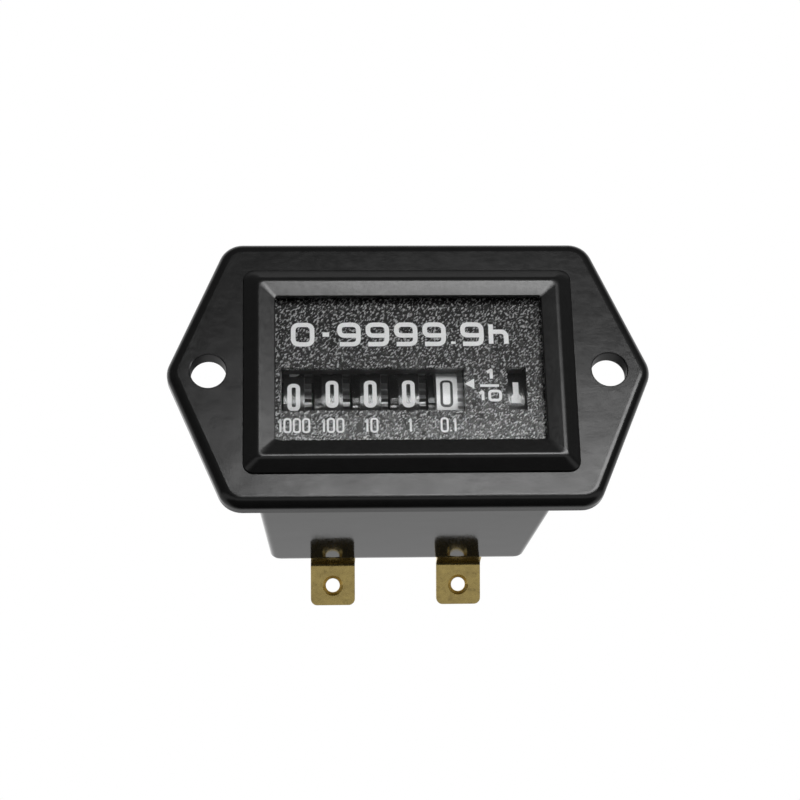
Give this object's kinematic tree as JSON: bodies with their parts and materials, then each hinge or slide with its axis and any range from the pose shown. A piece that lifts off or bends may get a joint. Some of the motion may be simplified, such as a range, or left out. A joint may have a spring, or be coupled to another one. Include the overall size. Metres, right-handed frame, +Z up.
{
  "type": "hour meter",
  "caption": "Panel hour meter with a pointed flange, a framed window over a number-wheel counter, a boxed case behind and bent brass blade terminals.",
  "frame": {"origin": "centre of the flange's back face, midway between the two panel holes", "axes": "+X right across the face, +Y back through the panel, +Z up the face"},
  "size_m": [0.0612, 0.0502, 0.036],
  "materials": {
    "flange_plastic": "satin moulded",
    "frame_plastic": "semi-gloss moulded",
    "lens_clear": "clear moulded acrylic",
    "dial_black": "coarse leather grain",
    "case_plastic": "gloss moulded",
    "terminal_brass": "worn, slightly tarnished",
    "movement_plastic": "natural moulded",
    "shaft_steel": "ground",
    "wheel_black": "semi-gloss with white figures",
    "wheel_white": "semi-gloss with black figures",
    "gear_plastic": "natural moulded",
    "magnet_grey": "sintered",
    "stator_steel": "stamped",
    "bobbin_plastic": "moulded",
    "winding_copper": "enamelled copper wire",
    "board_green": "solder mask on laminate",
    "chip_black": "moulded",
    "can_metal": "drawn can",
    "capacitor_sleeve": "sleeved can",
    "resistor_body": "lacquered",
    "diode_body": "moulded"
  },
  "bodies": {
    "housing": {"front_flange": "flange_plastic", "window_frame": "frame_plastic", "lens": "lens_clear", "dial_plate": "dial_black", "rear_case": "case_plastic", "terminal_left": "terminal_brass", "terminal_right": "terminal_brass", "movement_frame": "movement_plastic", "number_shaft": "shaft_steel", "pinion_shaft": "shaft_steel", "idler_arbor": "shaft_steel", "rotor_arbor": "shaft_steel", "stator_screws": "shaft_steel", "stator_plate": "stator_steel", "coil_core": "stator_steel", "coil_bobbin": "bobbin_plastic", "coil_winding": "winding_copper", "circuit_board": "board_green", "driver_chip": "chip_black", "crystal_can": "can_metal", "capacitor": "capacitor_sleeve", "resistor": "resistor_body", "diode": "diode_body"},
    "tenths_wheel": {"tenths_wheel": "wheel_white"},
    "units_wheel": {"units_wheel": "wheel_black"},
    "tens_wheel": {"tens_wheel": "wheel_black"},
    "hundreds_wheel": {"hundreds_wheel": "wheel_black"},
    "thousands_wheel": {"thousands_wheel": "wheel_black"},
    "units_pinion": {"units_pinion": "gear_plastic"},
    "tens_pinion": {"tens_pinion": "gear_plastic"},
    "hundreds_pinion": {"hundreds_pinion": "gear_plastic"},
    "thousands_pinion": {"thousands_pinion": "gear_plastic"},
    "drive_gear": {"drive_gear": "gear_plastic"},
    "run_indicator": {"run_indicator": "wheel_black"},
    "idler_gear": {"idler_gear": "gear_plastic"},
    "rotor": {"rotor_pinion": "gear_plastic", "rotor_magnet": "magnet_grey"}
  },
  "joints": [
    {"name": "tenths_wheel_turn", "type": "hinge", "parent": "housing", "child": "tenths_wheel", "pos_m": [0, 0.00805, -0.0023], "axis": [-1, 0, 0], "continuous": true},
    {"name": "units_wheel_turn", "type": "hinge", "parent": "housing", "child": "units_wheel", "pos_m": [0, 0.00805, -0.0023], "axis": [-1, 0, 0], "continuous": true},
    {"name": "tens_wheel_turn", "type": "hinge", "parent": "housing", "child": "tens_wheel", "pos_m": [0, 0.00805, -0.0023], "axis": [-1, 0, 0], "continuous": true},
    {"name": "hundreds_wheel_turn", "type": "hinge", "parent": "housing", "child": "hundreds_wheel", "pos_m": [0, 0.00805, -0.0023], "axis": [-1, 0, 0], "continuous": true},
    {"name": "thousands_wheel_turn", "type": "hinge", "parent": "housing", "child": "thousands_wheel", "pos_m": [0, 0.00805, -0.0023], "axis": [-1, 0, 0], "continuous": true},
    {"name": "units_pinion_turn", "type": "hinge", "parent": "housing", "child": "units_pinion", "pos_m": [0, 0.01705, -0.0023], "axis": [-1, 0, 0], "continuous": true},
    {"name": "tens_pinion_turn", "type": "hinge", "parent": "housing", "child": "tens_pinion", "pos_m": [0, 0.01705, -0.0023], "axis": [-1, 0, 0], "continuous": true},
    {"name": "hundreds_pinion_turn", "type": "hinge", "parent": "housing", "child": "hundreds_pinion", "pos_m": [0, 0.01705, -0.0023], "axis": [-1, 0, 0], "continuous": true},
    {"name": "thousands_pinion_turn", "type": "hinge", "parent": "housing", "child": "thousands_pinion", "pos_m": [0, 0.01705, -0.0023], "axis": [-1, 0, 0], "continuous": true},
    {"name": "drive_gear_turn", "type": "hinge", "parent": "housing", "child": "drive_gear", "pos_m": [0, 0.01705, -0.0023], "axis": [-1, 0, 0], "continuous": true},
    {"name": "run_indicator_turn", "type": "hinge", "parent": "housing", "child": "run_indicator", "pos_m": [0, 0.00805, -0.0023], "axis": [-1, 0, 0], "continuous": true},
    {"name": "idler_gear_turn", "type": "hinge", "parent": "housing", "child": "idler_gear", "pos_m": [0, 0.01584, 0.0022], "axis": [-1, 0, 0], "continuous": true},
    {"name": "rotor_turn", "type": "hinge", "parent": "housing", "child": "rotor", "pos_m": [0, 0.01984, 0.0022], "axis": [-1, 0, 0], "continuous": true}
  ],
  "couplings": [
    {"joint": "units_wheel_turn", "follows": "tenths_wheel_turn", "ratio": 0.1},
    {"joint": "tens_wheel_turn", "follows": "tenths_wheel_turn", "ratio": 0.01},
    {"joint": "hundreds_wheel_turn", "follows": "tenths_wheel_turn", "ratio": 0.001},
    {"joint": "thousands_wheel_turn", "follows": "tenths_wheel_turn", "ratio": 0.0001},
    {"joint": "units_pinion_turn", "follows": "tenths_wheel_turn", "ratio": -0.25},
    {"joint": "tens_pinion_turn", "follows": "tenths_wheel_turn", "ratio": -0.025},
    {"joint": "hundreds_pinion_turn", "follows": "tenths_wheel_turn", "ratio": -0.0025},
    {"joint": "thousands_pinion_turn", "follows": "tenths_wheel_turn", "ratio": -0.00025},
    {"joint": "drive_gear_turn", "follows": "tenths_wheel_turn", "ratio": -2.5},
    {"joint": "run_indicator_turn", "follows": "tenths_wheel_turn", "ratio": 10},
    {"joint": "idler_gear_turn", "follows": "tenths_wheel_turn", "ratio": -20},
    {"joint": "rotor_turn", "follows": "tenths_wheel_turn", "ratio": 60}
  ]
}
